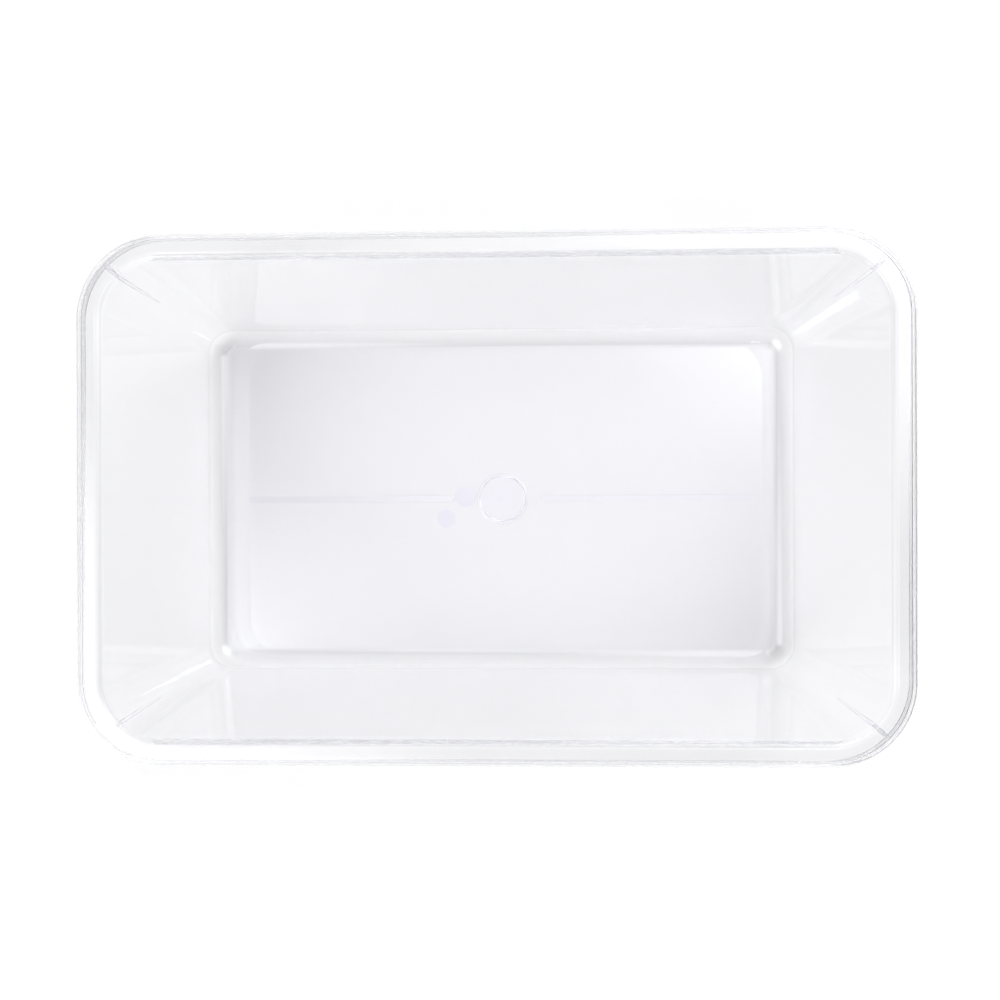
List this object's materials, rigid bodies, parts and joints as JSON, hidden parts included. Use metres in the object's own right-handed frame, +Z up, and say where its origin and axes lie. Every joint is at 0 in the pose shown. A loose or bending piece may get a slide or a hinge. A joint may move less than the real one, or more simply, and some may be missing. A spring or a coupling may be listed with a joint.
{
  "type": "developing tray",
  "caption": "Clear moulded rectangular tub with a deep basin, rounded corners, drafted walls and a flanged rim, for baths of liquid or loose items.",
  "frame": {"origin": "middle of the flat underside, on the surface that the tray stands on", "axes": "+X along the length towards the right end, +Y across towards the back wall, +Z up out of the mouth"},
  "size_m": [0.318, 0.203, 0.1],
  "materials": {
    "clear_gloss_plastic": "gloss",
    "clear_satin_plastic": "satin"
  },
  "bodies": {
    "root": {"floor_panel": "clear_gloss_plastic", "floor_cove": "clear_gloss_plastic", "wall_right": "clear_gloss_plastic", "wall_back": "clear_gloss_plastic", "wall_left": "clear_gloss_plastic", "wall_front": "clear_gloss_plastic", "wall_corner_back_right": "clear_gloss_plastic", "wall_corner_back_left": "clear_gloss_plastic", "wall_corner_front_left": "clear_gloss_plastic", "wall_corner_front_right": "clear_gloss_plastic", "rim_flange": "clear_gloss_plastic", "rim_skirt": "clear_gloss_plastic", "corner_gusset_back_right": "clear_gloss_plastic", "corner_gusset_back_left": "clear_gloss_plastic", "corner_gusset_front_left": "clear_gloss_plastic", "corner_gusset_front_right": "clear_gloss_plastic", "floor_ridge_left": "clear_gloss_plastic", "floor_ridge_right": "clear_gloss_plastic", "gate_pad": "clear_gloss_plastic", "gate_nib": "clear_satin_plastic", "ejector_mark_inner": "clear_satin_plastic", "ejector_mark_outer": "clear_satin_plastic"}
  },
  "joints": []
}
